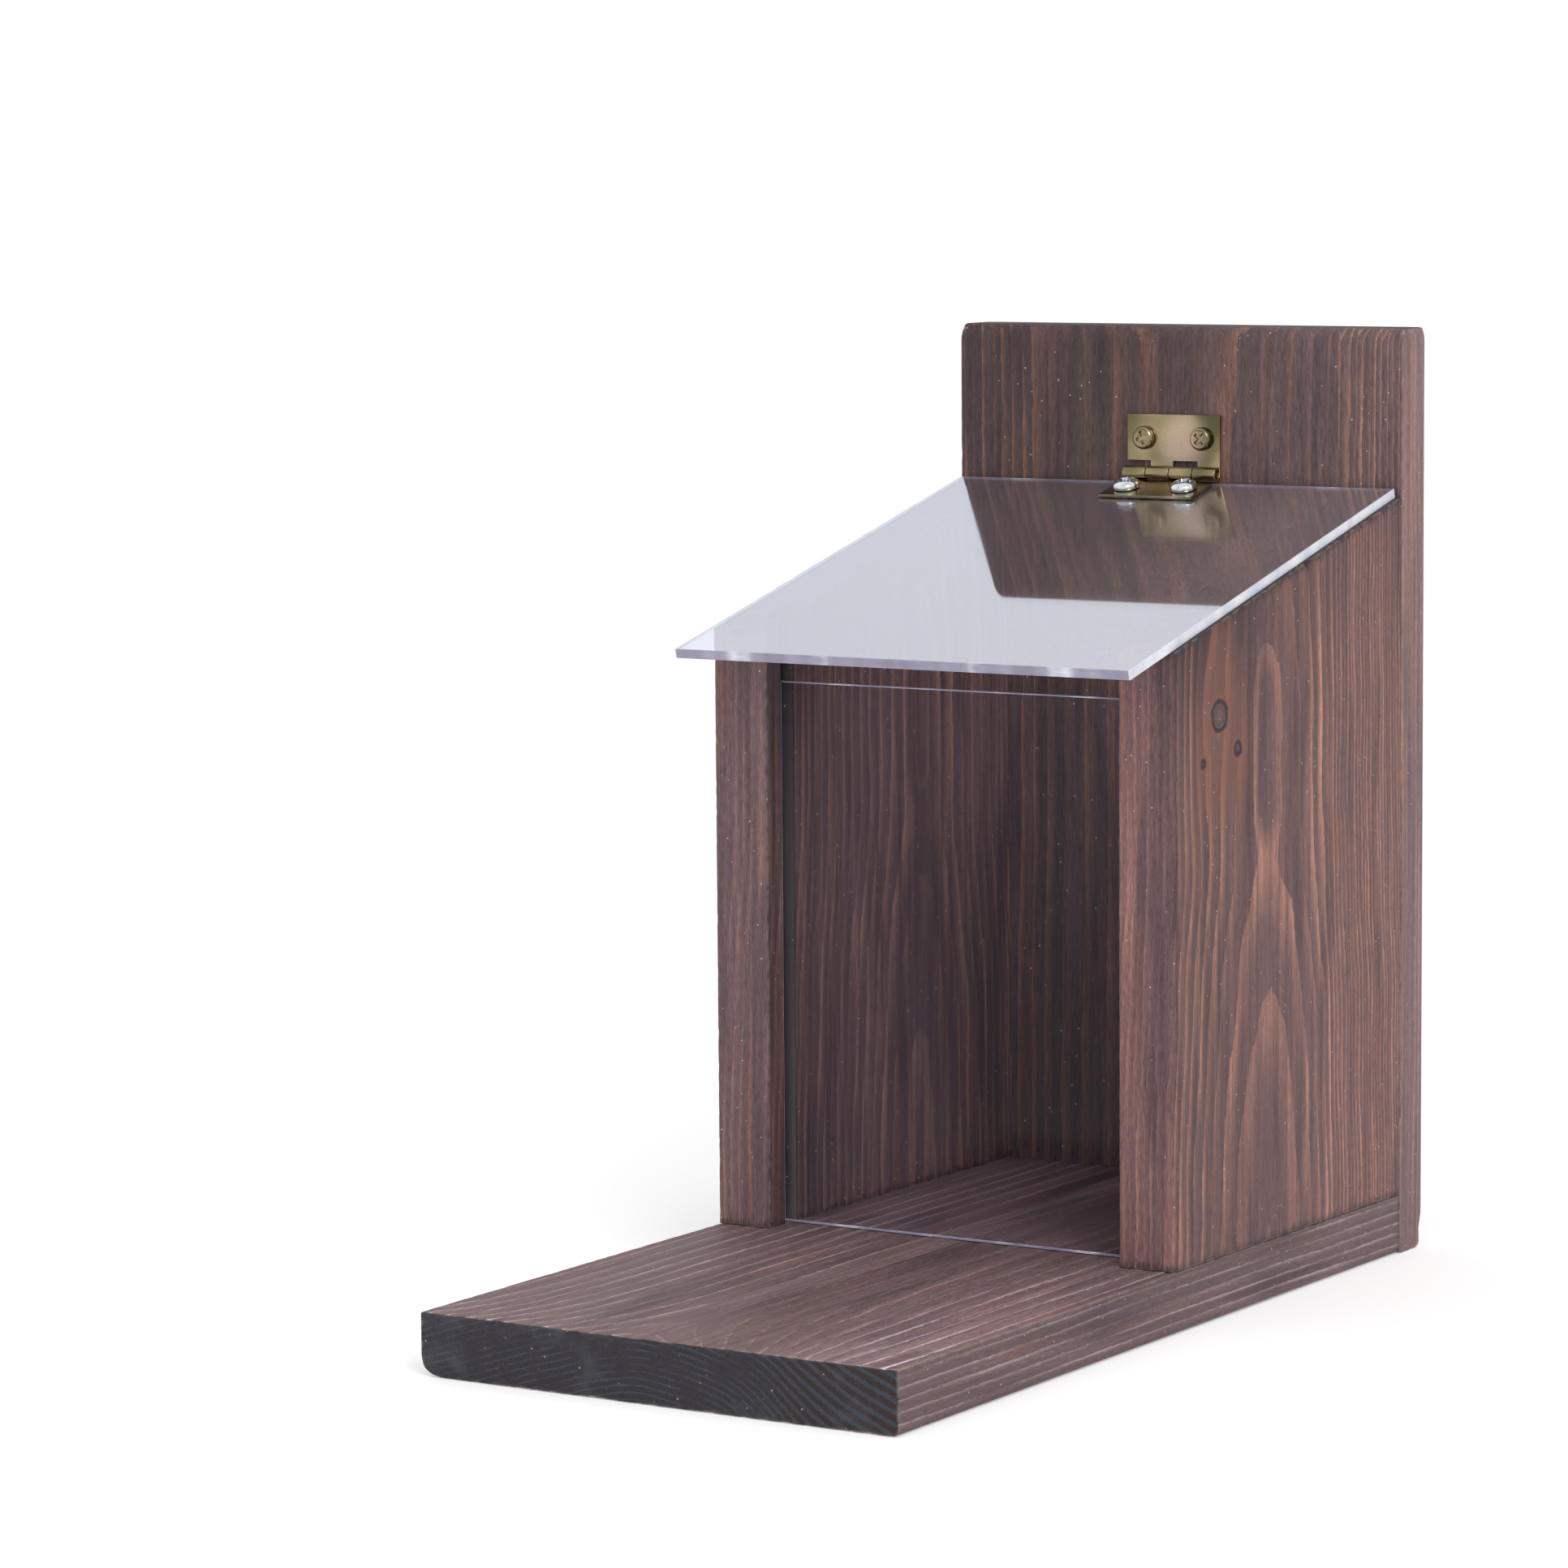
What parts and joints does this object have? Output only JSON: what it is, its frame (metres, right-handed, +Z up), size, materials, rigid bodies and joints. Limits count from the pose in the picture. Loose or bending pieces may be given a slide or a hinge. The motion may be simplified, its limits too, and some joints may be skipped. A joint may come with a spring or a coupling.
{
  "type": "squirrel feeder",
  "caption": "Wooden squirrel feeder: long feeding tray, tall back board and side boards, a clear front pane that slides up and a clear sloping lid on a small butt hinge.",
  "frame": {"origin": "middle of the feeder's box in X and Y, on the surface it stands on", "axes": "+Z up, -Y to the front edge of the tray, +Y to the rear face that lies against the tree or wall, +X to the right seen from the front"},
  "size_m": [0.17, 0.345, 0.31],
  "materials": {
    "stained_pine": "dark brown stain, satin, open grain",
    "clear_acrylic": "clear, polished faces, sawn edges",
    "yellow_zinc_steel": "yellow passivated zinc, iridescent",
    "bright_zinc_steel": "bright zinc"
  },
  "bodies": {
    "housing": {"base_board": "stained_pine", "back_board": "stained_pine", "side_panel_left": "stained_pine", "side_panel_right": "stained_pine", "hinge_leaf_wall": "yellow_zinc_steel", "hinge_pin": "yellow_zinc_steel", "wall_screw_left": "yellow_zinc_steel", "wall_screw_right": "yellow_zinc_steel", "base_screw_left_front": "yellow_zinc_steel", "base_screw_left_rear": "yellow_zinc_steel", "base_screw_right_front": "yellow_zinc_steel", "base_screw_right_rear": "yellow_zinc_steel", "back_screw_left_lower": "yellow_zinc_steel", "back_screw_left_upper": "yellow_zinc_steel", "back_screw_right_lower": "yellow_zinc_steel", "back_screw_right_upper": "yellow_zinc_steel", "tray_screw_left": "yellow_zinc_steel", "tray_screw_right": "yellow_zinc_steel", "hanger_plate": "bright_zinc_steel", "hanger_screw_lower": "bright_zinc_steel", "hanger_screw_upper": "bright_zinc_steel"},
    "lid": {"lid_panel": "clear_acrylic", "hinge_leaf_lid": "yellow_zinc_steel", "lid_bolt_left": "bright_zinc_steel", "lid_bolt_right": "bright_zinc_steel", "lid_nut_left": "bright_zinc_steel", "lid_nut_right": "bright_zinc_steel"},
    "window": {"front_window": "clear_acrylic"}
  },
  "joints": [
    {"name": "lid_hinge", "type": "hinge", "parent": "housing", "child": "lid", "pos_m": [-0.00065, 0.1497, 0.26008], "axis": [-1, 0, 0], "range_deg": [0, 80]},
    {"name": "window_slide", "type": "slide", "parent": "housing", "child": "window", "axis": [0, 0, 1], "range_m": [0, 0.018]}
  ]
}
